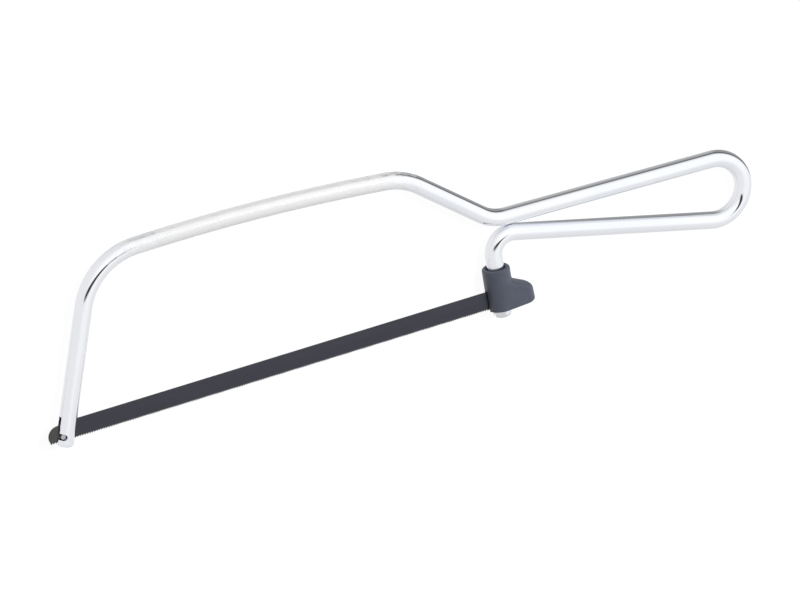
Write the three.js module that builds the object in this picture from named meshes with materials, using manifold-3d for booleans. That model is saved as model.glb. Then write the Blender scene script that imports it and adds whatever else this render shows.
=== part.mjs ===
// Mini hacksaw with a bent-rod frame, lying on its side. Millimetres and degrees, +Z up.
// X runs along the blade from the nose to the handle, Y from the teeth to the bow, Z across the saw.
// Plan positions count from the front blade pin along X and from the middle of the blade along Y.
import * as THREE from "three";
import { mergeVertices } from "three/addons/utils/BufferGeometryUtils.js";
import Module from "manifold-3d";

const wasm = await Module();
wasm.setup();

// Blade: a pin-ended junior blade
const pinSpacing = 150;
const bladeHeight = 6;
const bladeThickness = 0.65;
const teethPerInch = 32;
const inch = 25.4;
const toothDepth = 0.6;
const toothRake = 0.15; // share of the pitch that the steep cutting face leans back
const setAmplitude = 0.12; // sideways wave of the tooth points
const teethPerWave = 9;
const bladeEndRadius = 3.4;
const bladeEndLead = 0.9; // centre of the round end beyond the pin
const bladeShoulder = 3; // where the back starts to fall to the round end, inside the pin
const pinDrop = 1.1; // pins sit this far under the middle of the blade
const pinDiameter = 1.7;
const pinLength = 3.4;
const pinHoleClearance = 0.1;

// Frame: one round rod bent to shape
const rodDiameter = 5.6;
const rodSides = 20;
const frontLean = 18.5; // front post, foot forward
const frontBendHeight = 51.6;
const frontBendRadius = 21.4;
const crownRun = 55; // from the front bend's corner to the crown of the arched bow
const crownHeight = 53;
const bowRearSetback = 25.7; // rear corner of the bow ahead of the rear post
const bowRearHeight = 48;
const bowRearRadius = 20.6;
const neckLead = 1.3; // neck corner behind the rear post
const neckHeight = 26.1;
const neckRadius = 12.8;
const neckGap = 0.1; // between the two rods where they come together
const handleRun = 76.6; // from the neck corner to the start of the loop's round end
const handleFall = 1.5;
const handleEndRadius = 10.2;
const rearBendRadius = 6.5;
const frontFootDrop = 4.5; // rod ends under the middle of the blade
const rearFootDrop = 6.2;
const footChamfer = 0.9;

// How the blade is held in the rod
const kerfWidth = 1.8;
const kerfClearance = 0.3;
const pinOffset = 1.3; // pins sit this far outside the rod's axis
const notchClearance = 0.12;

// Sliding sleeve on the rear post
const boreClearance = 0.25;
const collarWall = 1.45;
const sleeveRise = 7.3; // above the back of the blade
const sleeveSkirt = 0.4; // below the points of the teeth
const rimRadius = 0.75;
const boreFlare = 0.65; // of the bore's mouth at the rim
const toeReach = 11.5; // of the sole behind the rod's axis
const toeTipRadius = 3.4;
const toeNoseSetback = 0.3; // of the nose from the sole's end
const toeNoseHeight = 1.9; // corners of the toe's back edge, above the middle of the blade
const toeRootHeight = 4.9;
const toeNoseRadius = 2.8;
const toeRootRadius = 3;
const toeSoleRadius = 0.7;
const slotClearance = 0.3;

// Facets
const arcTolerance = 0.03;
const pinSides = 24;
const collarSteps = 14;
const toeSteps = 8;
const cutterMargin = 2; // how far a cutter runs past the piece that it cuts

const rodRadius = rodDiameter / 2;
const pinRadius = pinDiameter / 2;
const bladeBack = bladeHeight / 2;
const bladePoints = -bladeHeight / 2;
const radians = THREE.MathUtils.degToRad;
const vec = (x, y) => new THREE.Vector2(x, y);
const headingVector = (heading) => vec(Math.cos(heading), Math.sin(heading));

// Solids for adding and cutting

function solidOf(geometry) {
  const bare = new THREE.BufferGeometry();
  bare.setAttribute("position", geometry.getAttribute("position"));
  bare.setIndex(geometry.index);
  const merged = mergeVertices(bare);
  return new wasm.Manifold(
    new wasm.Mesh({
      numProp: 3,
      vertProperties: merged.getAttribute("position").array,
      triVerts: new Uint32Array(merged.index.array),
    }),
  );
}

function geometryOf(solid) {
  const { numProp, vertProperties, triVerts } = solid.getMesh();
  const stored = new THREE.InterleavedBuffer(vertProperties, numProp);
  const geometry = new THREE.BufferGeometry();
  geometry.setAttribute("position", new THREE.InterleavedBufferAttribute(stored, 3, 0));
  geometry.setIndex(new THREE.BufferAttribute(triVerts, 1));
  const flat = geometry.toNonIndexed();
  flat.computeVertexNormals();
  return flat;
}

// Plan outlines made of arcs with straight runs between them

// An arc turns from one heading to another about its centre, left when the heading grows.
function arcPoint({ centre, radius, from, to }, heading) {
  const side = Math.sign(to - from) * radius;
  return vec(centre.x + side * Math.sin(heading), centre.y - side * Math.cos(heading));
}

function turnBetween(first, second) {
  return Math.atan2(first.cross(second), first.dot(second));
}

// The arc that rounds the corner of three points.
function cornerArc(before, corner, after, radius) {
  const inward = corner.clone().sub(before);
  const outward = after.clone().sub(corner);
  const from = inward.angle();
  const turn = turnBetween(inward, outward);
  const start = corner.clone().addScaledVector(inward.normalize(), -tangentLength(radius, turn));
  const toCentre = headingVector(from + (Math.sign(turn) * Math.PI) / 2);
  return { centre: start.addScaledVector(toCentre, radius), radius, from, to: from + turn };
}

function tangentLength(radius, turn) {
  return radius * Math.tan(Math.abs(turn) / 2);
}

function tangentOf(arc) {
  return tangentLength(arc.radius, arc.to - arc.from);
}

// Points with headings along a chain of arcs.
function stationsOf(arcs) {
  return arcs.flatMap((arc) => {
    const turn = arc.to - arc.from;
    const chord = 2 * Math.acos(1 - arcTolerance / arc.radius);
    const count = Math.max(2, Math.ceil(Math.abs(turn) / chord));
    return Array.from({ length: count + 1 }, (_, i) => {
      const heading = arc.from + (turn * i) / count;
      return { point: arcPoint(arc, heading), heading };
    });
  });
}

// Posts: where each end of the rod stands, with the pin on the outer side (-1 nose, +1 handle)

function postAt(pinX, lean, side, footDrop) {
  const up = vec(Math.sin(lean), Math.cos(lean));
  const across = vec(Math.cos(lean), -Math.sin(lean));
  const pin = vec(pinX, -pinDrop);
  const axis = pin.clone().addScaledVector(across, -side * pinOffset);
  const atHeight = (y) => axis.clone().addScaledVector(up, (y - axis.y) / up.y);
  return { up, across, pin, lean, side, axis, atHeight, foot: atHeight(-footDrop) };
}

const frontPost = postAt(0, radians(frontLean), -1, frontFootDrop);
const rearPost = postAt(pinSpacing, 0, 1, rearFootDrop);

// Route of the rod's axis: front post, arched bow, neck, handle loop and rear post

function rodArcs() {
  const fall = radians(handleFall);
  const front = frontPost.atHeight(frontBendHeight);
  const crown = vec(front.x + crownRun, crownHeight);
  const bowRear = vec(rearPost.axis.x - bowRearSetback, bowRearHeight);
  const neck = vec(rearPost.axis.x + neckLead, neckHeight);
  const loopStart = neck.clone().addScaledVector(headingVector(-fall), handleRun);

  const frontArc = cornerArc(frontPost.foot, front, crown, frontBendRadius);
  const bowRearArc = cornerArc(crown, bowRear, neck, bowRearRadius);
  const neckArc = cornerArc(bowRear, neck, loopStart, neckRadius);

  // The arched bow takes up the shorter of the two runs beside its crown.
  const before = front.distanceTo(crown) - tangentOf(frontArc);
  const after = crown.distanceTo(bowRear) - tangentOf(bowRearArc);
  const crownTurn = turnBetween(crown.clone().sub(front), bowRear.clone().sub(crown));
  const crownRadius = Math.min(before, after) / Math.tan(Math.abs(crownTurn) / 2);
  const crownArc = cornerArc(front, crown, bowRear, crownRadius);

  // The rear bend's centre leaves the neck gap under the upper rod of the handle.
  const reach = rearBendRadius + rodDiameter + neckGap;
  const rearX = rearPost.axis.x + rearBendRadius;
  const rearY = neck.y + ((neck.x - rearX) * Math.sin(fall) - reach) / Math.cos(fall);
  const rearCentre = vec(rearX, rearY);

  // The lower rod of the handle is the cross tangent from the loop's round end to the rear bend.
  const loopCentre = loopStart.clone().addScaledVector(headingVector(-fall - Math.PI / 2), handleEndRadius);
  const apart = rearCentre.clone().sub(loopCentre);
  const squeeze = Math.asin((handleEndRadius + rearBendRadius) / apart.length());
  const lowerHeading = apart.angle() - squeeze - 2 * Math.PI;
  const loopArc = { centre: loopCentre, radius: handleEndRadius, from: -fall, to: lowerHeading };
  const rearArc = { centre: rearCentre, radius: rearBendRadius, from: lowerHeading, to: -Math.PI / 2 };

  return [frontArc, crownArc, bowRearArc, neckArc, loopArc, rearArc];
}

// A curve through the stations themselves, so that bends get steps and straight runs get none.
class RodRoute extends THREE.Curve {
  constructor(stations) {
    super();
    this.stations = stations;
  }

  stationAt(u) {
    return this.stations[Math.round(u * (this.stations.length - 1))];
  }

  getPointAt(u) {
    const { point } = this.stationAt(u);
    return new THREE.Vector3(point.x, point.y, 0);
  }

  getTangentAt(u) {
    const { x, y } = headingVector(this.stationAt(u).heading);
    return new THREE.Vector3(x, y, 0);
  }
}

// A round section with a flat facet on each side of the saw.
function rodSection() {
  const corners = Array.from({ length: rodSides }, (_, i) =>
    headingVector(((i + 0.5) * 2 * Math.PI) / rodSides).multiplyScalar(rodRadius),
  );
  return new THREE.Shape(corners);
}

// Moves a cutter made about the origin to a place on a post, with its Y along the post.
function onPost(geometry, post, place) {
  return geometry.rotateZ(-post.lean).translate(place.x, place.y, 0);
}

// Chamfer ring round the foot of a post.
function footCutter(post) {
  const outer = rodRadius + cutterMargin;
  const inner = rodRadius - footChamfer;
  const ring = [
    vec(inner, -cutterMargin),
    vec(outer, -cutterMargin),
    vec(outer, footChamfer + cutterMargin),
    vec(inner, 0),
    vec(inner, -cutterMargin),
  ];
  return onPost(new THREE.LatheGeometry(ring, rodSides), post, post.foot);
}

// Kerf for the blade, open at the foot and ending just clear of the blade's back.
function kerfCutter(post) {
  const dip = rodRadius * Math.abs(post.across.y);
  const top = post.atHeight(bladeBack + kerfClearance + dip);
  const length = top.distanceTo(post.foot) + cutterMargin;
  const kerf = new THREE.BoxGeometry(rodDiameter + cutterMargin, length, kerfWidth);
  return onPost(kerf, post, top.addScaledVector(post.up, -length / 2));
}

// U-shaped notch that the pin hooks into, open to the outer side of the post.
function notchCutter(post) {
  const radius = pinRadius + notchClearance;
  const mouth = post.side * (rodRadius + cutterMargin);
  const outline = new THREE.Shape();
  outline.moveTo(mouth, -radius);
  outline.lineTo(mouth, radius);
  outline.absarc(0, 0, radius, Math.PI / 2, Math.PI / 2 + post.side * Math.PI, post.side < 0);
  const deep = rodDiameter + cutterMargin;
  const notch = new THREE.ExtrudeGeometry(outline, { depth: deep, bevelEnabled: false });
  return onPost(notch.translate(0, 0, -deep / 2), post, post.pin);
}

function frameGeometry() {
  const stations = [
    { point: frontPost.foot, heading: frontPost.up.angle() },
    ...stationsOf(rodArcs()),
    { point: rearPost.foot, heading: -Math.PI / 2 },
  ];
  const rod = new THREE.ExtrudeGeometry(rodSection(), {
    steps: stations.length - 1,
    extrudePath: new RodRoute(stations),
    bevelEnabled: false,
  });
  let frame = solidOf(rod);
  for (const post of [frontPost, rearPost])
    for (const cutter of [footCutter, kerfCutter, notchCutter])
      frame = frame.subtract(solidOf(cutter(post)));
  return geometryOf(frame);
}

// Blade: straight back, round ends about the pins and a row of teeth that point to the nose

function bladeOutline() {
  const pitch = inch / teethPerInch;
  const rootY = bladePoints + toothDepth;
  const endX = -bladeEndLead;
  const halfRow = Math.sqrt(bladeEndRadius ** 2 - (rootY + pinDrop) ** 2);
  const rowStart = endX - halfRow;
  const rowLength = pinSpacing - 2 * rowStart;
  const teeth = Math.floor(rowLength / pitch);
  const firstTooth = rowStart + (rowLength - teeth * pitch) / 2;

  // Each end falls from the back to its round along the line that touches the round.
  const toShoulder = vec(bladeShoulder - endX, bladeBack + pinDrop);
  const touch = toShoulder.angle() + Math.acos(bladeEndRadius / toShoulder.length());
  const rowAngle = Math.atan2(rootY + pinDrop, -halfRow);

  const outline = new THREE.Shape();
  outline.moveTo(pinSpacing - bladeShoulder, bladeBack);
  outline.lineTo(bladeShoulder, bladeBack);
  outline.absarc(endX, -pinDrop, bladeEndRadius, touch, rowAngle + 2 * Math.PI, false);
  for (let i = 0; i < teeth; i++) {
    const root = firstTooth + i * pitch;
    outline.lineTo(root, rootY);
    outline.lineTo(root + toothRake * pitch, bladePoints);
  }
  outline.lineTo(firstTooth + teeth * pitch, rootY);
  outline.absarc(pinSpacing - endX, -pinDrop, bladeEndRadius, -Math.PI - rowAngle, Math.PI - touch, false);
  for (const post of [frontPost, rearPost]) {
    const hole = new THREE.Path();
    hole.absarc(post.pin.x, post.pin.y, pinRadius + pinHoleClearance, 0, 2 * Math.PI, true);
    outline.holes.push(hole);
  }
  return outline;
}

function bladeGeometry() {
  const blade = new THREE.ExtrudeGeometry(bladeOutline(), {
    depth: bladeThickness,
    curveSegments: pinSides / 2,
    bevelEnabled: false,
  });
  blade.translate(0, 0, -bladeThickness / 2);
  // Wavy set: the points lean to one side and the other in a slow wave.
  const waveLength = (teethPerWave * inch) / teethPerInch;
  const places = blade.getAttribute("position");
  for (let i = 0; i < places.count; i++) {
    if (places.getY(i) > bladePoints + toothDepth / 2) continue;
    const wave = Math.sin((2 * Math.PI * places.getX(i)) / waveLength);
    places.setZ(i, places.getZ(i) + setAmplitude * wave);
  }
  return blade;
}

function pinGeometry(post) {
  const pin = new THREE.CylinderGeometry(pinRadius, pinRadius, pinLength, pinSides);
  return pin.rotateX(Math.PI / 2).translate(post.pin.x, post.pin.y, 0);
}

// Sleeve: teardrop sections lofted up the post, whose toe shortens to the bare collar towards the rim

const boreRadius = rodRadius + boreClearance;
const collarRadius = boreRadius + collarWall;
const sleeveTop = bladeBack + sleeveRise;
const sleeveSole = bladePoints - sleeveSkirt;

// Back edge of the sleeve seen from the side, as distance behind the rod's axis and height.
function sleeveBackEdge() {
  const corners = [
    vec(0, sleeveSole),
    vec(toeReach, sleeveSole),
    vec(toeReach - toeNoseSetback, toeNoseHeight),
    vec(collarRadius, toeRootHeight),
    vec(collarRadius, sleeveTop),
    vec(0, sleeveTop),
  ];
  const radii = [toeSoleRadius, toeNoseRadius, toeRootRadius, rimRadius];
  const arcs = radii.map((radius, i) => cornerArc(corners[i], corners[i + 1], corners[i + 2], radius));
  return stationsOf(arcs).map(({ point }) => point);
}

// Outline round the rod: the collar's front, tangent sides and the round end of the toe.
function sleeveRing(reach, y) {
  const taper = (collarRadius - toeTipRadius) / (toeReach - toeTipRadius);
  const side = Math.acos(taper);
  const collar = Math.min(reach, collarRadius);
  const toeCentre = (reach - collar) / (1 - taper);
  const toeRadius = collar - taper * toeCentre;
  const ring = [];
  const add = (centre, radius, angle) =>
    ring.push(new THREE.Vector3(centre + radius * Math.cos(angle), y, radius * Math.sin(angle)));
  for (let i = 0; i <= toeSteps; i++) add(toeCentre, toeRadius, side * ((2 * i) / toeSteps - 1));
  add(0, collar, side);
  for (let i = 0; i <= collarSteps; i++) add(0, collar, Math.PI + side * ((2 * i) / collarSteps - 1));
  add(0, collar, -side);
  return ring;
}

// Closed skin over a stack of rings with equal counts, with a fan on the first and the last.
function loft(rings) {
  const count = rings[0].length;
  const points = rings.flat();
  const faces = [];
  rings.slice(1).forEach((_, level) => {
    for (let i = 0; i < count; i++) {
      const a = level * count + i;
      const b = level * count + ((i + 1) % count);
      faces.push(a, a + count, b, b, a + count, b + count);
    }
  });
  const last = points.length - count;
  for (let i = 1; i < count - 1; i++) {
    faces.push(0, i, i + 1);
    faces.push(last, last + i + 1, last + i);
  }
  const geometry = new THREE.BufferGeometry().setFromPoints(points);
  return geometry.setIndex(faces);
}

function sleeveGeometry() {
  const rings = sleeveBackEdge().map(({ x, y }) => sleeveRing(x, y));
  const body = loft(rings).translate(rearPost.axis.x, 0, 0);

  const boreLength = sleeveTop - sleeveSole + 2 * cutterMargin;
  const bore = new THREE.CylinderGeometry(boreRadius, boreRadius, boreLength, 2 * collarSteps);
  bore.translate(rearPost.axis.x, (sleeveTop + sleeveSole) / 2, 0);
  const mouthDepth = boreFlare + cutterMargin;
  const mouth = new THREE.CylinderGeometry(boreRadius + mouthDepth, boreRadius, mouthDepth, 2 * collarSteps);
  mouth.translate(rearPost.axis.x, sleeveTop - boreFlare + mouthDepth / 2, 0);

  // The slot straddles the blade from the front of the collar to just past the blade's tail.
  const slotStart = rearPost.axis.x - collarRadius - cutterMargin;
  const slotEnd = pinSpacing + bladeEndLead + bladeEndRadius + slotClearance;
  const slotTop = bladeBack + slotClearance;
  const slotSole = sleeveSole - cutterMargin;
  const slot = new THREE.BoxGeometry(
    slotEnd - slotStart,
    slotTop - slotSole,
    bladeThickness + 2 * (setAmplitude + slotClearance),
  );
  slot.translate((slotStart + slotEnd) / 2, (slotTop + slotSole) / 2, 0);

  let sleeve = solidOf(body);
  for (const cutter of [bore, mouth, slot]) sleeve = sleeve.subtract(solidOf(cutter));
  return geometryOf(sleeve);
}

// Finishes

const platedSteel = new THREE.MeshStandardMaterial({ color: 0xd9dbe2, roughness: 0.22, metalness: 1 });
const bladeSteel = new THREE.MeshStandardMaterial({ color: 0x3f4047, roughness: 0.5, metalness: 0.6 });
const pinSteel = new THREE.MeshStandardMaterial({ color: 0xb9bac0, roughness: 0.35, metalness: 1 });
const slatePlastic = new THREE.MeshStandardMaterial({ color: 0x52545f, roughness: 0.55, metalness: 0 });

// The saw: the sleeve slides on its own group, the rest is held by the frame

function piece(name, geometry, material) {
  const mesh = new THREE.Mesh(geometry, material);
  mesh.name = name;
  return mesh;
}

const slidingSleeve = new THREE.Group();
slidingSleeve.add(piece("blade_lock_sleeve", sleeveGeometry(), slatePlastic));

const saw = new THREE.Group();
saw.add(
  piece("frame", frameGeometry(), platedSteel),
  piece("saw_blade", bladeGeometry(), bladeSteel),
  piece("front_blade_pin", pinGeometry(frontPost), pinSteel),
  piece("rear_blade_pin", pinGeometry(rearPost), pinSteel),
  slidingSleeve,
);

// Origin under the middle of the saw as it lies.
const extent = new THREE.Box3().setFromObject(saw, true);
const middle = extent.getCenter(new THREE.Vector3());
saw.position.set(-middle.x, -middle.y, -extent.min.z);

const hacksaw = new THREE.Group();
hacksaw.add(saw);

export default hacksaw;
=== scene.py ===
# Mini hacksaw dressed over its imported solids: bent rod frame, toothed blade, two pins and the lock sleeve.
from math import acos, asin, atan2, ceil, cos, degrees, floor, pi, radians, sin, sqrt, tan

import bmesh
import bpy
from mathutils import Matrix, Vector


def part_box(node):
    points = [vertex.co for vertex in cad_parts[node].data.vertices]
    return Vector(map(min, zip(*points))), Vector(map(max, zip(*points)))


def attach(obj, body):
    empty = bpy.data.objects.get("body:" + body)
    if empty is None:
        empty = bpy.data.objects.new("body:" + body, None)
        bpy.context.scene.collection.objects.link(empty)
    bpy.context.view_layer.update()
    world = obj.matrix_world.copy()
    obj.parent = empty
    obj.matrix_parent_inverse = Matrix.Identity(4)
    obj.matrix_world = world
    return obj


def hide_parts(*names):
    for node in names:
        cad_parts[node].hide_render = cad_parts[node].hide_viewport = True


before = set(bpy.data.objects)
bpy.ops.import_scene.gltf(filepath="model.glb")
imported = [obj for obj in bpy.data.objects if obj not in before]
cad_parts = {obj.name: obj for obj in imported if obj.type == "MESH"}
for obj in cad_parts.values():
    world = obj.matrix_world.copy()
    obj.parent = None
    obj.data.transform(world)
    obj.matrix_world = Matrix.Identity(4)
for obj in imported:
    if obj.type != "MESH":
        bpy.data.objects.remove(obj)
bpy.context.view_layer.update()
print("solids loaded:", ", ".join(sorted(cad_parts)))

# Pieces are made in plan millimetres: x from the front pin, y from the middle of the blade, z across the saw
mm = 0.001
inch = 25.4
tiny = 0.01                # lengths under this count as none
frontPinLow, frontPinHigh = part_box("front_blade_pin")
rearPinLow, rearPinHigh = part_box("rear_blade_pin")
bladeLow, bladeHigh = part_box("saw_blade")
frameLow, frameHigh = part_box("frame")
sleeveLow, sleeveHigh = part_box("blade_lock_sleeve")
frontPin = (frontPinLow + frontPinHigh) / 2
rearPin = (rearPinLow + rearPinHigh) / 2
planOrigin = Vector((frontPin.x, (bladeLow.y + bladeHigh.y) / 2, frontPin.z))
planToFrame = Matrix.Translation(planOrigin) @ Matrix.Scale(mm, 4)

pinSpacing = (rearPin.x - frontPin.x) / mm
pinDrop = (planOrigin.y - frontPin.y) / mm
bladeHeight = (bladeHigh.y - bladeLow.y) / mm
rodRadius = (frameHigh.z - frameLow.z) / mm / 2
zAxis = Vector((0, 0, 1))


def plan(x, y):
    return Vector((x, y))


def onPlan(point, z=0):
    return Vector((point.x, point.y, z))


def heading(angle):
    return plan(cos(angle), sin(angle))


def cornerTurn(before, corner, after):
    inward, outward = corner - before, after - corner
    return atan2(inward.cross(outward), inward.dot(outward))


# Where a corner of this radius starts to bend, what it bends about and how far, left positive
def roundCorner(before, corner, after, radius):
    inward = (corner - before).normalized()
    turn = cornerTurn(before, corner, after)
    start = corner - inward * radius * tan(abs(turn) / 2)
    left = plan(-inward.y, inward.x)
    return {"start": start, "centre": start + left * radius * (1 if turn > 0 else -1), "turn": turn}


def bendPoints(bend, steps):
    arm = bend["start"] - bend["centre"]
    turns = [Matrix.Rotation(bend["turn"] * i / steps, 2) for i in range(steps + 1)]
    return [bend["centre"] + turn @ arm for turn in turns]


def vertsOf(geom):
    return [g for g in geom if isinstance(g, bmesh.types.BMVert)]


def edgesOf(geom):
    return [g for g in geom if isinstance(g, bmesh.types.BMEdge)]


# Edges of a ring that has just been extruded
def ringAmong(geom):
    fresh = set(vertsOf(geom))
    return [e for e in edgesOf(geom) if fresh.issuperset(e.verts)]


def roundEdges(bm, edges, width, steps):
    bmesh.ops.bevel(bm, geom=edges, offset=width, segments=steps, profile=0.5, affect="EDGES", material=-1)


# Edges whose two ends have the same z
def levelEdges(bm):
    return [e for e in bm.edges if abs(e.verts[0].co.z - e.verts[1].co.z) < tiny]


def addObject(name, data):
    added = bpy.data.objects.new(name, data)
    bpy.context.scene.collection.objects.link(added)
    return added


def meshObject(bm, name):
    mesh = bpy.data.meshes.new(name)
    bm.to_mesh(mesh)
    bm.free()
    return addObject(name, mesh)


# From plan millimetres to the frame
def toObject(bm, name):
    bmesh.ops.transform(bm, matrix=planToFrame, verts=bm.verts)
    return meshObject(bm, name)


# Takes the cutters away from a piece and deletes them
def carve(piece, cutters):
    for cutter in cutters:
        cut = piece.modifiers.new(cutter.name, "BOOLEAN")
        cut.operation = "DIFFERENCE"
        cut.solver = "MANIFOLD"
        cut.object = cutter
    bpy.context.view_layer.update()
    carved = piece.evaluated_get(bpy.context.evaluated_depsgraph_get())
    mesh = bpy.data.meshes.new_from_object(carved)
    piece.modifiers.clear()
    piece.data = mesh
    mesh.name = piece.name
    for cutter in cutters:
        bpy.data.objects.remove(cutter)


# Softens the edges that a cut leaves sharp
def easeEdges(piece, width, angle):
    ease = piece.modifiers.new("easedEdges", "BEVEL")
    ease.width = width * mm
    ease.segments = 2
    ease.limit_method = "ANGLE"
    ease.angle_limit = radians(angle)
    ease.use_clamp_overlap = False
    ease.harden_normals = False


def dress(piece, finish, body, node, sharpAngle):
    piece.data.materials.clear()
    piece.data.materials.append(finish)
    piece.data.shade_smooth()
    piece.data.set_sharp_from_angle(angle=radians(sharpAngle))
    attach(piece, body)
    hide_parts(node)
    print(piece.name, "made:", len(piece.data.polygons), "faces")


# Camera: above the saw and to the left of its nose, as in the photo
photoView = {
    "yaw": 20.0,
    "rise": 22.0,
    "bladeSlope": 17.03,       # of the blade in the picture
    "distance": 1700.0,
    "aim": (115.55, 9.10),     # plan point in the middle of the picture
    "pixelsPerMm": 3.212,      # at the aim
    "pictureWidth": 800,
    "sensor": 36.0,
    "clipEnd": 100.0,          # metres
}


def cameraAxes(view):
    yaw, rise = radians(view["yaw"]), radians(view["rise"])
    back = Vector((-sin(yaw) * cos(rise), sin(rise), cos(yaw) * cos(rise)))
    level = Vector((cos(yaw), 0, sin(yaw)))
    upright = back.cross(level)
    roll = atan2(upright.x, level.x) - radians(view["bladeSlope"])
    right = level * cos(roll) + upright * sin(roll)
    return right, back.cross(right), back


cameraRight, cameraUp, cameraBack = cameraAxes(photoView)


def setCamera(view):
    data = bpy.data.cameras.new("photoCamera")
    data.sensor_width = view["sensor"]
    data.lens = view["sensor"] * view["pixelsPerMm"] * view["distance"] / view["pictureWidth"]
    data.clip_end = view["clipEnd"]
    camera = addObject("photoCamera", data)
    place = planToFrame @ (onPlan(plan(*view["aim"])) + cameraBack * view["distance"])
    turn = Matrix((cameraRight, cameraUp, cameraBack)).transposed()
    camera.matrix_world = Matrix.Translation(place) @ turn.to_4x4()
    bpy.context.scene.camera = camera
    print("camera set, lens", round(data.lens, 1), "mm")


setCamera(photoView)


# Node trees
def addNode(tree, kind, sockets=None, **settings):
    node = tree.nodes.new(kind)
    for name, value in settings.items():
        setattr(node, name, value)
    for name, value in (sockets or {}).items():
        if isinstance(value, bpy.types.NodeSocket):
            tree.links.new(value, node.inputs[name])
        else:
            node.inputs[name].default_value = value
    return node


def ramp(tree, factor, stops):
    node = addNode(tree, "ShaderNodeValToRGB", {"Fac": factor})
    elements = node.color_ramp.elements
    while len(elements) < len(stops):
        elements.new(1)
    for element, (position, colour) in zip(elements, stops):
        element.position = position
        element.color = colour if len(colour) == 4 else (*colour, 1)
    return node.outputs["Color"]


def grey(value):
    return (value, value, value)


def mapRange(tree, value, low, high, toLow, toHigh):
    sockets = {"Value": value, "From Min": low, "From Max": high, "To Min": toLow, "To Max": toHigh}
    return addNode(tree, "ShaderNodeMapRange", sockets).outputs["Result"]


def maths(tree, operation, first, second):
    return addNode(tree, "ShaderNodeMath", {0: first, 1: second}, operation=operation).outputs["Value"]


def squared(tree, value):
    return maths(tree, "MULTIPLY", value, value)


def mixGrey(tree, factor, first, second):
    return addNode(tree, "ShaderNodeMix", {"Factor": factor, "A": first, "B": second}).outputs["Result"]


# A Mix node has its colours on numbered sockets
def mixColour(tree, factor, first, second):
    node = addNode(tree, "ShaderNodeMix", {"Factor": factor, 6: first, 7: second}, data_type="RGBA")
    return node.outputs[2]


def vectorMaths(tree, operation, sockets, result="Vector"):
    return addNode(tree, "ShaderNodeVectorMath", sockets, operation=operation).outputs[result]


def noise(tree, vector, scale, detail=2.0, roughness=0.5):
    sockets = {"Vector": vector, "Scale": scale, "Detail": detail, "Roughness": roughness}
    return addNode(tree, "ShaderNodeTexNoise", sockets).outputs["Fac"]


noiseSpan = (0.3, 0.7)     # most of what a noise pattern gives lies between these


def spread(tree, pattern, low, high):
    return mapRange(tree, pattern, *noiseSpan, low, high)


def stretched(tree, vector, scale):
    return addNode(tree, "ShaderNodeMapping", {"Vector": vector, "Scale": scale}).outputs["Vector"]


def newFinish(name, look):
    finish = bpy.data.materials.new(name)
    finish.use_nodes = True
    shader = finish.node_tree.nodes["Principled BSDF"]
    for socket, value in look.items():
        shader.inputs[socket].default_value = value
    return finish, finish.node_tree, shader


def objectCoords(tree):
    return addNode(tree, "ShaderNodeTexCoord").outputs["Object"]


def addBump(tree, shader, height, strength, depth):
    sockets = {"Height": height, "Strength": strength, "Distance": depth * mm}
    bump = addNode(tree, "ShaderNodeBump", sockets)
    tree.links.new(bump.outputs["Normal"], shader.inputs["Normal"])


# Studio, painted as a mirror ball beside the saw would show it: across to the right and up, each from -1 to 1
studio = {
    "heights": [(-1.0, 0.72), (-0.85, 0.80), (-0.5, 0.89), (-0.2, 0.90), (0.3, 0.90), (0.65, 0.84),
                (0.85, 0.74), (1.0, 0.80)],
    "windowPlace": (0.32, 0.10),       # the big white softbox
    "windowSize": (0.52, 0.46),
    "windowEdge": (0.6, 1.15),         # it fades from the first to the second share of its size
    "windowGlow": 0.22,
    "stripTop": (0.0, 0.70),           # the dark strip arches over the softbox
    "stripArch": 0.46,
    "stripEdges": [(-0.13, 1.0), (-0.06, 0.20), (0.02, 0.15), (0.08, 0.42), (0.3, 0.5), (0.6, 0.65)],
    "stripFade": (-0.25, 0.15),        # across which it comes in from the left
    "standPlace": (0.10, -0.155),      # the dark stand by the camera
    "standSize": (0.25, 0.07),
    "standEdge": (0.75, 1.1),
    "standGrey": 0.04,
    "ambient": 0.24,                   # what lights the dull pieces from all round
    "keyPlace": (800.0, 300.0, 900.0),
    "keySize": 0.7,
    "keyPower": 14.0,
    "floorSize": 4.0,
    "floorGlow": 0.94,
    "floorGrey": 0.12,
}


def dotWith(tree, direction, fixed):
    return vectorMaths(tree, "DOT_PRODUCT", {0: direction, 1: fixed}, "Value")


# How far a place on the ball lies from the middle of an oval, 1 on its rim
def ovalDistance(tree, across, height, place, size):
    sideways = maths(tree, "DIVIDE", maths(tree, "SUBTRACT", across, place[0]), size[0])
    upward = maths(tree, "DIVIDE", maths(tree, "SUBTRACT", height, place[1]), size[1])
    squares = maths(tree, "ADD", squared(tree, sideways), squared(tree, upward))
    return maths(tree, "SQRT", squares, 0.0)


# Steps a value through pairs of place and grey
def greySteps(tree, value, steps):
    low, high = steps[0][0], steps[-1][0]
    share = mapRange(tree, value, low, high, 0, 1)
    return ramp(tree, share, [((place - low) / (high - low), grey(shade)) for place, shade in steps])


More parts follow.
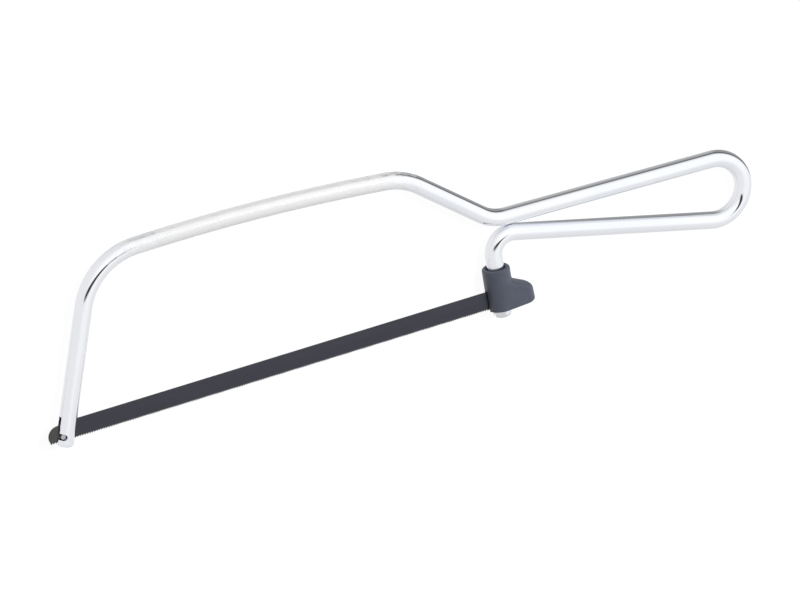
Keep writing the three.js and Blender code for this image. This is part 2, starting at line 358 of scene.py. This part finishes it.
def mirroredRoom(tree, look):
    direction = addNode(tree, "ShaderNodeTexCoord").outputs["Generated"]
    facing = vectorMaths(tree, "NORMALIZE", {0: vectorMaths(tree, "ADD", {0: direction, 1: cameraBack})})
    across, height = dotWith(tree, facing, cameraRight), dotWith(tree, facing, cameraUp)

    room = greySteps(tree, height, look["heights"])
    fromWindow = ovalDistance(tree, across, height, look["windowPlace"], look["windowSize"])
    room = maths(tree, "ADD", room, mapRange(tree, fromWindow, *look["windowEdge"], look["windowGlow"], 0))

    beside = maths(tree, "SUBTRACT", across, look["stripTop"][0])
    drop = maths(tree, "MULTIPLY", squared(tree, beside), look["stripArch"])
    fromStrip = maths(tree, "SUBTRACT", maths(tree, "ADD", height, drop), look["stripTop"][1])
    strip = greySteps(tree, fromStrip, look["stripEdges"])
    onRight = mapRange(tree, across, *look["stripFade"], 0, 1)
    strip = mixGrey(tree, onRight, 1.0, strip)
    fromStand = ovalDistance(tree, across, height, look["standPlace"], look["standSize"])
    stand = mapRange(tree, fromStand, *look["standEdge"], look["standGrey"], 1)
    return maths(tree, "MULTIPLY", room, maths(tree, "MULTIPLY", strip, stand))


def setRoom(look):
    world = bpy.data.worlds.new("studio")
    bpy.context.scene.world = world
    world.use_nodes = True
    tree = world.node_tree
    path = addNode(tree, "ShaderNodeLightPath").outputs
    mixed = mixGrey(tree, path["Is Glossy Ray"], look["ambient"], mirroredRoom(tree, look))
    seen = mixGrey(tree, path["Is Camera Ray"], mixed, 1.0)
    tree.links.new(seen, tree.nodes["Background"].inputs["Strength"])
    tree.nodes["Background"].inputs["Color"].default_value = (1, 1, 1, 1)


# Models the dull pieces from over the camera's right shoulder
def setKeySoftbox(look):
    data = bpy.data.lights.new("keySoftbox", "AREA")
    data.shape = "DISK"
    data.size = look["keySize"]
    data.energy = look["keyPower"]
    key = addObject("keySoftbox", data)
    right, up, back = look["keyPlace"]
    offset = (cameraRight * right + cameraUp * up + cameraBack * back) * mm
    key.matrix_world = Matrix.Translation(offset) @ offset.to_track_quat("Z", "Y").to_matrix().to_4x4()
    key.visible_glossy = False


def setFloor(look):
    bm = bmesh.new()
    bmesh.ops.create_grid(bm, x_segments=1, y_segments=1, size=look["floorSize"] / 2)
    sheet = meshObject(bm, "studioFloor")
    paper = newFinish("floorPaper", {
        "Base Color": (*grey(look["floorGrey"]), 1), "Roughness": 0.9, "Specular IOR Level": 0.0,
        "Emission Color": (1, 1, 1, 1), "Emission Strength": look["floorGlow"]})[0]
    sheet.data.materials.append(paper)
    sheet.visible_glossy = False


setRoom(studio)
setKeySoftbox(studio)
setFloor(studio)
bpy.context.scene.view_settings.view_transform = "Standard"
print("studio set")


# Frame: one rod bent six times
rodFrame = {
    "sides": 64,
    "stepDegrees": 3.0,
    "stepLength": 11.0,        # for the wide arch of the bow
    "frontLean": 18.5,
    "frontBendHeight": 51.6,
    "frontBendRadius": 21.4,
    "crownRun": 55.0,          # from the front corner to the crown of the arched bow
    "crownHeight": 53.0,
    "bowRearSetback": 25.7,    # ahead of the rear post
    "bowRearHeight": 48.0,
    "bowRearRadius": 20.6,
    "neckLead": 1.3,           # behind the rear post
    "neckHeight": 26.1,
    "neckRadius": 12.8,
    "diameter": 5.6,
    "neckGap": 0.1,            # between the two rods at the neck
    "handleRun": 76.6,
    "handleFall": 1.5,
    "handleEndRadius": 10.2,
    "rearBendRadius": 6.5,
    "frontFootDrop": 4.5,
    "rearFootDrop": 6.2,
    "footRound": 0.9,
    "footSteps": 4,
    "sharpAngle": 40,
}

# Kerf and pin notch in both ends of the rod
bladeSeat = {
    "kerfWidth": 1.8,
    "kerfClearance": 0.3,
    "pinOffset": 1.3,          # pins stand this far outside the rod's axis
    "notchClearance": 0.12,
    "notchSides": 32,
    "easedEdge": 0.1,
    "overrun": 2.0,            # of a cutter past what it cuts
}


# A post stands on its pin: side -1 is the nose, +1 the handle
def postAt(pinX, lean, side, footDrop):
    up, across = plan(sin(lean), cos(lean)), plan(cos(lean), -sin(lean))
    pin = plan(pinX, -pinDrop)
    axis = pin - across * side * bladeSeat["pinOffset"]
    post = {"up": up, "across": across, "lean": lean, "side": side, "pin": pin, "axis": axis}
    post["foot"] = onPost(post, -footDrop)
    return post


def onPost(post, height):
    return post["axis"] + post["up"] * (height - post["axis"].y) / post["up"].y


frontPost = postAt(0, radians(rodFrame["frontLean"]), -1, rodFrame["frontFootDrop"])
rearPost = postAt(pinSpacing, 0, 1, rodFrame["rearFootDrop"])


# The rear bend sits just under the upper rod, and the lower rod runs as a cross tangent to the loop
def handleBends(rod, neck, loopStart, fall):
    loopRadius, rearRadius = rod["handleEndRadius"], rod["rearBendRadius"]
    reach = rearRadius + rod["diameter"] + rod["neckGap"]
    rearX = rearPost["axis"].x + rearRadius
    rearCentre = plan(rearX, neck.y + ((neck.x - rearX) * sin(fall) - reach) / cos(fall))
    loopCentre = loopStart + heading(-fall - pi / 2) * loopRadius
    apart = rearCentre - loopCentre
    lowerRod = atan2(apart.y, apart.x) - asin((loopRadius + rearRadius) / apart.length)
    rearStart = rearCentre + heading(lowerRod - pi / 2) * rearRadius
    return [{"start": loopStart, "centre": loopCentre, "turn": (lowerRod + fall) % (2 * pi) - 2 * pi},
            {"start": rearStart, "centre": rearCentre, "turn": (-pi / 2 - lowerRod) % (2 * pi)}]


def rodBends(rod):
    fall = radians(rod["handleFall"])
    rearX = rearPost["axis"].x
    front = onPost(frontPost, rod["frontBendHeight"])
    crown = plan(front.x + rod["crownRun"], rod["crownHeight"])
    bowRear = plan(rearX - rod["bowRearSetback"], rod["bowRearHeight"])
    neck = plan(rearX + rod["neckLead"], rod["neckHeight"])
    loopStart = neck + heading(-fall) * rod["handleRun"]

    frontBend = roundCorner(frontPost["foot"], front, crown, rod["frontBendRadius"])
    bowRearBend = roundCorner(crown, bowRear, neck, rod["bowRearRadius"])
    neckBend = roundCorner(bowRear, neck, loopStart, rod["neckRadius"])

    # the arch takes up the shorter of the two runs beside the crown
    frontEnd = bendPoints(frontBend, 1)[-1]
    shorterRun = min((crown - frontEnd).length, (bowRearBend["start"] - crown).length)
    crownRadius = shorterRun / tan(abs(cornerTurn(front, crown, bowRear)) / 2)
    crownBend = roundCorner(front, crown, bowRear, crownRadius)
    return [frontBend, crownBend, bowRearBend, neckBend, *handleBends(rod, neck, loopStart, fall)]


# Cross-section at the front foot
def footRing(bm, rod, straight):
    foot, across, up = (onPlan(frontPost[key]) for key in ("foot", "across", "up"))
    turn = Matrix((across, zAxis, up)).transposed().to_4x4()
    start = Matrix.Translation(foot) @ turn @ Matrix.Rotation(pi / rod["sides"], 4, "Z")
    verts = bmesh.ops.create_circle(bm, segments=rod["sides"], radius=rodRadius, matrix=start)["verts"]
    for vert in verts:
        arm = vert.co - foot
        vert[straight] = (0, arm.dot(across), arm.z)
    return list(bm.edges)


# Works like a wire bender: straight runs are drawn out, bends are spun about their centres.
# Each ring keeps its place on the straight rod for the finish to follow.
def bendRod(bm, rod):
    straight = bm.verts.layers.float_vector.new("straightRod")
    ring = footRing(bm, rod, straight)
    bmesh.ops.contextual_create(bm, geom=ring)

    def advance(geom, along):
        for vert in vertsOf(geom):
            vert[straight].x = along
        return ringAmong(geom)

    here, along = frontPost["foot"], 0
    for bend in rodBends(rod) + [{"start": rearPost["foot"]}]:
        run = bend["start"] - here
        grown = bmesh.ops.extrude_edge_only(bm, edges=ring)["geom"]
        bmesh.ops.translate(bm, verts=vertsOf(grown), vec=onPlan(run))
        along += run.length
        ring = advance(grown, along)
        here = bend["start"]
        if "turn" not in bend:
            break
        radius = (here - bend["centre"]).length
        length = radius * abs(bend["turn"])
        steps = ceil(max(abs(degrees(bend["turn"])) / rod["stepDegrees"], length / rod["stepLength"]))
        for _ in range(steps):
            spun = bmesh.ops.spin(bm, geom=ring, cent=onPlan(bend["centre"]), axis=zAxis,
                                  angle=bend["turn"] / steps, steps=1)["geom_last"]
            along += length / steps
            ring = advance(spun, along)
        here = bendPoints(bend, 1)[-1]
    bmesh.ops.contextual_create(bm, geom=ring)
    print("rod bent,", round(along), "mm long")


def roundFeet(bm, rod):
    caps = [f for f in bm.faces if len(f.verts) == rod["sides"]]
    rims = [e for cap in caps for e in cap.edges]
    roundEdges(bm, rims, rod["footRound"], rod["footSteps"])
    bmesh.ops.recalc_face_normals(bm, faces=bm.faces)


# Turns a cutter made about the origin to its place on a post, with its Y along the post
def onPostMatrix(post, place):
    return Matrix.Translation(onPlan(place)) @ Matrix.Rotation(-post["lean"], 4, "Z")


def kerfCutter(post, seat):
    dip = rodRadius * abs(post["across"].y)
    top = onPost(post, bladeHeight / 2 + seat["kerfClearance"] + dip)
    length = (top - post["foot"]).length + seat["overrun"]
    bm = bmesh.new()
    bmesh.ops.create_cube(bm, size=1)
    bmesh.ops.scale(bm, verts=bm.verts, vec=(2 * rodRadius + seat["overrun"], length, seat["kerfWidth"]))
    bmesh.ops.transform(bm, verts=bm.verts, matrix=onPostMatrix(post, top - post["up"] * length / 2))
    return toObject(bm, "kerf")


def notchCutter(post, seat):
    radius = pins["diameter"] / 2 + seat["notchClearance"]
    depth = 2 * rodRadius + seat["overrun"]
    bm = bmesh.new()
    bmesh.ops.create_circle(bm, segments=seat["notchSides"], radius=radius, cap_ends=True)
    mouth = [v for v in bm.verts if v.co.x * post["side"] > 0]
    bmesh.ops.translate(bm, verts=mouth, vec=(post["side"] * rodRadius, 0, 0))
    grown = bmesh.ops.extrude_face_region(bm, geom=list(bm.faces))["geom"]
    bmesh.ops.translate(bm, verts=vertsOf(grown), vec=(0, 0, depth))
    bmesh.ops.translate(bm, verts=bm.verts, vec=(0, 0, -depth / 2))
    bmesh.ops.recalc_face_normals(bm, faces=bm.faces)
    bmesh.ops.transform(bm, verts=bm.verts, matrix=onPostMatrix(post, post["pin"]))
    return toObject(bm, "notch")


platedSteel = {
    "lavender": (0.860, 0.880, 0.930),
    "pale": (0.885, 0.900, 0.928),
    "bow": (0.875, 0.876, 0.880),
    "dullBow": (60, 80, 150, 163),    # where along the rod the bow's duller plating comes and goes
    "bright": 0.09,
    "dull": 0.42,
    "dullMetal": 0.38,                # the rest of the bow's plating is chalky
    "flecks": 0.15,                   # how much brighter its flecks are polished
    "rearPost": (380, 392, 0.2),      # plating grows rougher down the rear post, and its foot is painted darker grey as shade cast below the sleeve
    "shadedFootColour": (0.68, 0.69, 0.72),     # and is rubbed grey at its foot, where the sleeve slides
    "shadedFootSpan": (400, 402),
    "clouds": (0.06, 0.16, 0.16),     # patterns to the millimetre, along the rod and across it
    "blotches": (0.35, 0.8, 0.8),
    "blotchReach": 10,                # how far they carry the dull plating to and fro
    "mottle": (-0.03, 0.05),          # and how much they change the roughness
    "fineFlecks": (0.25, 1.1, 1.1),
    "fleckSpan": (0.42, 0.62),
    "drawnLines": (0.05, 3.0, 3.0),
    "peel": (0.8, 1.1, 1.1),
    "drawnShare": 0.10,
    "peelShare": (0.12, 1.0),         # on bright and on dull plating
    "bump": (0.35, 0.06),             # strength, and depth in millimetres
}


def platedSteelFinish(look):
    finish, tree, shader = newFinish("platedSteel", {"IOR": 2.2})
    rodPlace = addNode(tree, "ShaderNodeAttribute", attribute_name="straightRod").outputs["Vector"]
    along = addNode(tree, "ShaderNodeSeparateXYZ", {"Vector": rodPlace}).outputs["X"]
    cloudy = noise(tree, stretched(tree, rodPlace, look["clouds"]), 1.0, 3)
    tint = ramp(tree, cloudy, [(0.35, look["lavender"]), (0.65, look["pale"])])

    riseStart, riseEnd, fallStart, fallEnd = look["dullBow"]
    blotches = noise(tree, stretched(tree, rodPlace, look["blotches"]), 1.0, 4, 0.6)
    reach = look["blotchReach"]
    shifted = maths(tree, "ADD", along, spread(tree, blotches, -reach, reach))
    dullness = maths(tree, "MULTIPLY", mapRange(tree, shifted, riseStart, riseEnd, 0, 1),
                     mapRange(tree, shifted, fallStart, fallEnd, 1, 0))
    colours = mixColour(tree, dullness, tint, (*look["bow"], 1))
    # painted shade: the end of the rod below the sleeve turns darker grey
    footShading = mapRange(tree, along, *look["shadedFootSpan"], 0, 1)
    tree.links.new(mixColour(tree, footShading, colours, (*look["shadedFootColour"], 1)), shader.inputs["Base Color"])
    mottled = maths(tree, "ADD", mapRange(tree, dullness, 0, 1, look["bright"], look["dull"]),
                    spread(tree, blotches, *look["mottle"]))
    fine = noise(tree, stretched(tree, rodPlace, look["fineFlecks"]), 1.0, 2)
    flecks = maths(tree, "MULTIPLY", mapRange(tree, fine, *look["fleckSpan"], 0, look["flecks"]), dullness)
    start, end, added = look["rearPost"]
    worn = maths(tree, "SUBTRACT", mapRange(tree, along, start, end, 0, added), flecks)
    tree.links.new(maths(tree, "ADD", mottled, worn), shader.inputs["Roughness"])
    tree.links.new(mapRange(tree, dullness, 0, 1, 1, look["dullMetal"]), shader.inputs["Metallic"])

    drawn = noise(tree, stretched(tree, rodPlace, look["drawnLines"]), 1.0, 2)
    peel = noise(tree, stretched(tree, rodPlace, look["peel"]), 1.0, 2)
    peelShare = mapRange(tree, dullness, 0, 1, *look["peelShare"])
    uneven = maths(tree, "ADD", maths(tree, "MULTIPLY", drawn, look["drawnShare"]),
                   maths(tree, "MULTIPLY", peel, peelShare))
    addBump(tree, shader, uneven, *look["bump"])
    return finish


def makeFrame():
    bm = bmesh.new()
    bendRod(bm, rodFrame)
    roundFeet(bm, rodFrame)
    piece = toObject(bm, "bent_rod_frame")
    carve(piece, [cutter(post, bladeSeat) for post in (frontPost, rearPost)
                  for cutter in (kerfCutter, notchCutter)])
    easeEdges(piece, bladeSeat["easedEdge"], rodFrame["sharpAngle"])
    dress(piece, platedSteelFinish(platedSteel), "saw", "frame", rodFrame["sharpAngle"])


# Pins: short turned steel pins that the blade hooks on
pins = {
    "diameter": (frontPinHigh.x - frontPinLow.x) / mm,
    "length": (frontPinHigh.z - frontPinLow.z) / mm,
    "sides": 48,
    "endRound": 0.3,
    "endSteps": 4,
    "sharpAngle": 40,
}

satinSteel = {
    "light": (0.56, 0.56, 0.60),
    "dark": (0.4592, 0.4592, 0.492),
    "roughness": (0.25, 0.42),
    "turned": (3000, 3000, 9000),      # to the metre, finest along the pin
    "bump": (0.3, 0.02),
}


def satinSteelFinish(look):
    finish, tree, shader = newFinish("satinSteel", {"Metallic": 1.0})
    coords = objectCoords(tree)
    turned = noise(tree, stretched(tree, coords, look["turned"]), 1.0, 3)
    shade = ramp(tree, turned, [(0.3, look["dark"]), (0.7, look["light"])])
    tree.links.new(shade, shader.inputs["Base Color"])
    tree.links.new(spread(tree, turned, *look["roughness"]), shader.inputs["Roughness"])
    addBump(tree, shader, turned, *look["bump"])
    return finish


def makePin(post, name, node, finish):
    bm = bmesh.new()
    bmesh.ops.create_cone(bm, cap_ends=True, segments=pins["sides"], radius1=pins["diameter"] / 2,
                          radius2=pins["diameter"] / 2, depth=pins["length"])
    roundEdges(bm, levelEdges(bm), pins["endRound"], pins["endSteps"])
    bmesh.ops.translate(bm, verts=bm.verts, vec=onPlan(post["pin"]))
    dress(toObject(bm, name), finish, "saw", node, pins["sharpAngle"])


# Blade: thin strip with round ends, a pin hole in each and fine teeth with a wavy set
blade = {
    "thickness": 0.65,
    "teethPerInch": 32,
    "toothDepth": 0.6,
    "toothRake": 0.15,         # share of the pitch that the cutting face leans back
    "setWave": 0.12,
    "teethPerWave": 9,
    "endRadius": 3.4,
    "endLead": 0.9,            # centre of the round end beyond the pin
    "shoulder": 3.0,           # where the back starts to fall to the round end, inside the pin
    "holeClearance": 0.1,
    "easedEdge": 0.08,
    "easedSteps": 2,
    "endSteps": 24,
    "sharpAngle": 35,
}

blackedSteel = {
    "dark": (0.034, 0.0355, 0.047),
    "light": (0.041, 0.0425, 0.0565),
    "worn": (0.072, 0.072, 0.071),     # the handled end in front of the post
    "wornEnd": (-1.015, 1.985),        # where that stops, from the front pin
    "roughness": (0.40, 0.50),
    "ground": (40, 2600, 2600),        # patterns to the metre, along the blade and across it
    "clouds": (60, 240, 240),
    "groundShare": 0.45,
    "bump": (0.25, 0.02),
}


def blackedSteelFinish(look):
    finish, tree, shader = newFinish("blackedSteel", {"Metallic": 0.35, "Specular IOR Level": 0.5})
    coords = objectCoords(tree)
    ground = noise(tree, stretched(tree, coords, look["ground"]), 1.0, 3)
    cloudy = noise(tree, stretched(tree, coords, look["clouds"]), 1.0, 3)
    both = mixGrey(tree, look["groundShare"], cloudy, ground)
    blacked = ramp(tree, both, [(0.35, look["dark"]), (0.65, look["light"])])
    along = addNode(tree, "ShaderNodeSeparateXYZ", {"Vector": coords}).outputs["X"]
    wear = mapRange(tree, along, *(planOrigin.x + place * mm for place in look["wornEnd"]), 1, 0)
    tree.links.new(mixColour(tree, wear, blacked, (*look["worn"], 1)), shader.inputs["Base Color"])
    tree.links.new(spread(tree, both, *look["roughness"]), shader.inputs["Roughness"])
    addBump(tree, shader, ground, *look["bump"])
    return finish


# As many whole teeth as fit: the row may reach the round ends, halfRow beyond their centres
def toothRow():
    pitch = inch / blade["teethPerInch"]
    rootY = -bladeHeight / 2 + blade["toothDepth"]
    halfRow = sqrt(blade["endRadius"] ** 2 - (rootY + pinDrop) ** 2)
    start = -blade["endLead"] - halfRow
    length = pinSpacing - 2 * start
    teeth = floor(length / pitch)
    first = start + (length - teeth * pitch) / 2
    return {"pitch": pitch, "rootY": rootY, "halfRow": halfRow, "teeth": teeth, "first": first}


def cutTeeth(bm, row):
    pitch, rootY = row["pitch"], row["rootY"]
    corners = [(0, rootY), (blade["toothRake"] * pitch, -bladeHeight / 2), (pitch, rootY)]
    tooth = bm.faces.new([bm.verts.new((row["first"] + x, y, 0)) for x, y in corners])
    geom = [tooth, *tooth.verts, *tooth.edges]
    bmesh.ops.spin(bm, geom=geom, cent=(0, 0, 0), axis=zAxis, angle=0, steps=row["teeth"] - 1,
                   dvec=(pitch, 0, 0), use_duplicate=True)
    bmesh.ops.remove_doubles(bm, verts=bm.verts, dist=tiny)
    return [e for e in bm.edges if all(abs(v.co.y - rootY) < tiny for v in e.verts)]


# Spins a point on the row about the end's centre, up to where the slope of the back touches the round
def roundEnd(bm, post, row, roots):
    side, radius, backY = post["side"], blade["endRadius"], bladeHeight / 2
    toShoulder = plan(blade["shoulder"] + blade["endLead"], backY + pinDrop)
    touch = atan2(toShoulder.y, toShoulder.x) + acos(radius / toShoulder.length)
    swept = pi + asin(-(row["rootY"] + pinDrop) / radius) - touch
    centre = Vector((post["pin"].x + side * blade["endLead"], -pinDrop, 0))
    low = bm.verts.new(centre + Vector((side * row["halfRow"], row["rootY"] + pinDrop, 0)))
    before = set(bm.edges)
    last = bmesh.ops.spin(bm, geom=[low], cent=centre, axis=zAxis, angle=side * swept,
                          steps=blade["endSteps"])["geom_last"]
    rowEnd = min((v for e in roots for v in e.verts), key=lambda v: (v.co - low.co).length)
    shoulder = bm.verts.new((post["pin"].x - side * blade["shoulder"], backY, 0))
    bm.edges.new((low, rowEnd))
    bm.edges.new((vertsOf(last)[0], shoulder))
    return shoulder, [e for e in bm.edges if e not in before]


# Bends the points of the teeth to either side in a slow wave
def setTeeth(bm, row):
    wave = 2 * pi / (blade["teethPerWave"] * row["pitch"])
    for vert in bm.verts:
        if vert.co.y < row["rootY"] - blade["toothDepth"] / 2:
            vert.co.z += blade["setWave"] * sin(wave * vert.co.x)


def makeBlade():
    row = toothRow()
    bm = bmesh.new()
    roots = cutTeeth(bm, row)
    outline, shoulders = list(roots), []
    for post in (frontPost, rearPost):
        shoulder, edges = roundEnd(bm, post, row, roots)
        shoulders.append(shoulder)
        outline += edges
    outline.append(bm.edges.new(shoulders))
    bmesh.ops.contextual_create(bm, geom=outline)

    bmesh.ops.translate(bm, verts=bm.verts, vec=(0, 0, -blade["thickness"] / 2))
    grown = bmesh.ops.extrude_face_region(bm, geom=list(bm.faces))["geom"]
    bmesh.ops.translate(bm, verts=vertsOf(grown), vec=(0, 0, blade["thickness"]))
    bmesh.ops.recalc_face_normals(bm, faces=bm.faces)

    # back and round ends are eased, the tooth row stays sharp
    rims = [e for e in levelEdges(bm) if all(v.co.y > row["rootY"] + tiny for v in e.verts)]
    roundEdges(bm, rims, blade["easedEdge"], blade["easedSteps"])
    setTeeth(bm, row)
    piece = toObject(bm, "toothed_blade")
    carve(piece, [holeCutter(post) for post in (frontPost, rearPost)])
    dress(piece, blackedSteelFinish(blackedSteel), "saw", "saw_blade", blade["sharpAngle"])


def holeCutter(post):
    radius = pins["diameter"] / 2 + blade["holeClearance"]
    bm = bmesh.new()
    bmesh.ops.create_cone(bm, cap_ends=True, segments=pins["sides"], radius1=radius, radius2=radius,
                          depth=blade["thickness"] + bladeSeat["overrun"])
    bmesh.ops.translate(bm, verts=bm.verts, vec=onPlan(post["pin"]))
    return toObject(bm, "pinHole")


# Sleeve: moulded collar that slides on the rear post, with a thumb toe behind it
sleeve = {
    "sides": 96,
    "arcSteps": 8,
    "boreClearance": 0.25,
    "rimRadius": 0.75,         # the bore's mouth takes the rest of the wall
    "toeTipRadius": 3.4,
    "toeNoseSetback": 0.3,     # of the nose from the sole's end
    "toeNoseHeight": 1.9,      # corners of the toe's back edge, above the middle of the blade
    "toeRootHeight": 4.9,
    "toeNoseRadius": 2.8,
    "toeRootRadius": 3.0,
    "thumbRest": (0.9, 3.4),   # heights between which the toe's round end turns into a flat top
    "thumbSquare": 0.35,       # 1 leaves the top as round as the end
    "soleRound": 0.7,
    "slotClearance": 0.3,
    "easedEdge": 0.12,
    "sharpAngle": 50,
}

slatePlastic = {
    "dark": (0.067, 0.075, 0.103),
    "light": (0.077, 0.086, 0.117),
    "roughness": (0.36, 0.46),
    "grain": 5200,                     # to the metre
    "clouds": 420,
    "bump": (0.35, 0.03),
}


def slatePlasticFinish(look):
    finish, tree, shader = newFinish("slatePlastic", {"Specular IOR Level": 0.45})
    coords = objectCoords(tree)
    grain = noise(tree, coords, look["grain"], 2)
    cloudy = noise(tree, coords, look["clouds"], 3)
    shade = ramp(tree, cloudy, [(0.3, look["dark"]), (0.7, look["light"])])
    tree.links.new(shade, shader.inputs["Base Color"])
    tree.links.new(spread(tree, grain, *look["roughness"]), shader.inputs["Roughness"])
    addBump(tree, shader, grain, *look["bump"])
    return finish


def sleeveSizes():
    rearX = rearPost["axis"].x
    toPlan = planToFrame.inverted()
    low, high = toPlan @ sleeveLow, toPlan @ sleeveHigh
    return {"collar": high.z, "toe": high.x - rearX, "sole": low.y, "top": high.y,
            "bore": rodRadius + sleeve["boreClearance"]}


# Back edge of the sleeve from the sole up to the rim, as distance behind the rod's axis and height
def sleeveBackEdge(size):
    nose = size["toe"] - sleeve["toeNoseSetback"]
    corners = [plan(0, size["sole"]), plan(size["toe"], size["sole"]), plan(nose, sleeve["toeNoseHeight"]),
               plan(size["collar"], sleeve["toeRootHeight"]), plan(size["collar"], size["top"]),
               plan(size["bore"], size["top"]), plan(size["bore"], size["sole"]), plan(0, size["sole"])]
    radii = [sleeve["soleRound"], sleeve["toeNoseRadius"], sleeve["toeRootRadius"], sleeve["rimRadius"],
             size["collar"] - size["bore"] - sleeve["rimRadius"]]
    points = []
    for i, radius in enumerate(radii):
        arc = bendPoints(roundCorner(*corners[i:i + 3], radius), sleeve["arcSteps"])
        points += [p for p in arc if not points or (p - points[-1]).length > tiny]
    return points + [plan(size["bore"], size["sole"])]


# How square the toe is in plan: round at its end and again where it runs into the collar
def topPower(length, height):
    low, high = sleeve["thumbRest"]
    risen = min(max((height - low) / (high - low), 0), 1)
    return 1 - (1 - sleeve["thumbSquare"]) * risen * min(length / sleeve["toeNoseHeight"], 1)


# A ring round the rod whose back half is drawn out to the toe, with straight tangent sides
def sleeveRing(bm, size, reach, height):
    collar = min(reach, size["collar"])
    taper = (size["collar"] - sleeve["toeTipRadius"]) / (size["toe"] - sleeve["toeTipRadius"])
    toeCentre = (reach - collar) / (1 - taper)
    toeRadius = collar - taper * toeCentre
    lie = Matrix.Rotation(-pi / 2, 4, "X")
    verts = bmesh.ops.create_circle(bm, segments=sleeve["sides"], radius=collar, matrix=lie)["verts"]
    toe = [v for v in verts if v.co.x > collar * taper]
    bmesh.ops.scale(bm, verts=toe, vec=(toeRadius / collar, 1, toeRadius / collar))
    power = topPower(reach - collar, height)
    for vert in toe:
        vert.co.x = toeRadius * (vert.co.x / toeRadius) ** power
    bmesh.ops.translate(bm, verts=toe, vec=(toeCentre, 0, 0))
    bmesh.ops.translate(bm, verts=verts, vec=(rearPost["axis"].x, height, 0))
    return list({e for v in verts for e in v.link_edges})


def slotCutter(size):
    start = rearPost["axis"].x - size["collar"] - bladeSeat["overrun"]
    end = pinSpacing + blade["endLead"] + blade["endRadius"] + sleeve["slotClearance"]
    top = bladeHeight / 2 + sleeve["slotClearance"]
    sole = size["sole"] - bladeSeat["overrun"]
    width = blade["thickness"] + 2 * (blade["setWave"] + sleeve["slotClearance"])
    bm = bmesh.new()
    bmesh.ops.create_cube(bm, size=1)
    bmesh.ops.scale(bm, verts=bm.verts, vec=(end - start, top - sole, width))
    bmesh.ops.translate(bm, verts=bm.verts, vec=((start + end) / 2, (top + sole) / 2, 0))
    return toObject(bm, "bladeSlot")


def makeSleeve():
    size = sleeveSizes()
    bm = bmesh.new()
    rings = [sleeveRing(bm, size, p.x, p.y) for p in sleeveBackEdge(size)]
    for lower, upper in zip(rings, rings[1:]):
        bmesh.ops.bridge_loops(bm, edges=lower + upper)
    bmesh.ops.triangle_fill(bm, edges=rings[-1] + rings[0], use_beauty=True)
    bmesh.ops.recalc_face_normals(bm, faces=bm.faces)
    piece = toObject(bm, "lock_sleeve")
    carve(piece, [slotCutter(size)])
    easeEdges(piece, sleeve["easedEdge"], sleeve["sharpAngle"])
    finish = slatePlasticFinish(slatePlastic)
    dress(piece, finish, "sleeve", "blade_lock_sleeve", sleeve["sharpAngle"])


makeFrame()
makeBlade()
pinFinish = satinSteelFinish(satinSteel)
makePin(frontPost, "front_pin", "front_blade_pin", pinFinish)
makePin(rearPost, "rear_pin", "rear_blade_pin", pinFinish)
makeSleeve()
